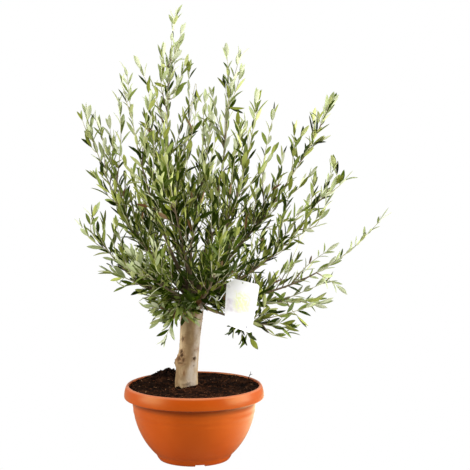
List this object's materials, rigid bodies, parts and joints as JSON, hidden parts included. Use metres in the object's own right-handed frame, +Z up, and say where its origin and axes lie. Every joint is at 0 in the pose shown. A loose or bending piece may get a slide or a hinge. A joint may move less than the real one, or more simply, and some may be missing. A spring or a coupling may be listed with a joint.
{
  "type": "potted olive bonsai",
  "caption": "Small olive trained on a short bare trunk with a loose upswept crown, growing in a round bowl pot, with a blank card hung on a strap.",
  "frame": {"origin": "middle of the flat pad under the pot, at the height of the foot ring's underside", "axes": "+Z up along the plant, +X to the right of the front seen in the picture, +Y to the back"},
  "size_m": [0.9059, 0.6643, 1.2796],
  "materials": {
    "pot": "satin terracotta orange moulded plastic",
    "soil": "dark crumbly potting compost",
    "bark": "smooth pale grey-beige bark with knots",
    "leaf": "leathery grey-green leaves with silvery undersides on slim twigs",
    "card": "glossy white printed card",
    "strap": "white plastic strap"
  },
  "bodies": {
    "root": {"bough_back_left": "bark", "bough_back_low": "bark", "bough_back_right": "bark", "bough_back_up": "bark", "bough_far_right": "bark", "bough_front_left": "bark", "bough_front_low": "bark", "bough_front_right": "bark", "bough_front_up": "bark", "bough_leader": "bark", "bough_left": "bark", "bough_left_droop": "bark", "bough_left_low": "bark", "bough_left_side": "bark", "bough_right": "bark", "bough_right_droop": "bark", "bough_right_mid": "bark", "bough_right_side": "bark", "bough_upper_left": "bark", "bough_upper_right": "bark", "label": "card", "label_strap": "strap", "mass_back_left": "leaf", "mass_back_low": "leaf", "mass_back_right": "leaf", "mass_back_up": "leaf", "mass_far_right": "leaf", "mass_front_left": "leaf", "mass_front_low": "leaf", "mass_front_right": "leaf", "mass_front_up": "leaf", "mass_leader": "leaf", "mass_left": "leaf", "mass_left_droop": "leaf", "mass_left_low": "leaf", "mass_left_side": "leaf", "mass_right": "leaf", "mass_right_droop": "leaf", "mass_right_mid": "leaf", "mass_right_side": "leaf", "mass_upper_left": "leaf", "mass_upper_right": "leaf", "pot": "pot", "soil": "soil", "trunk": "bark"}
  },
  "joints": []
}
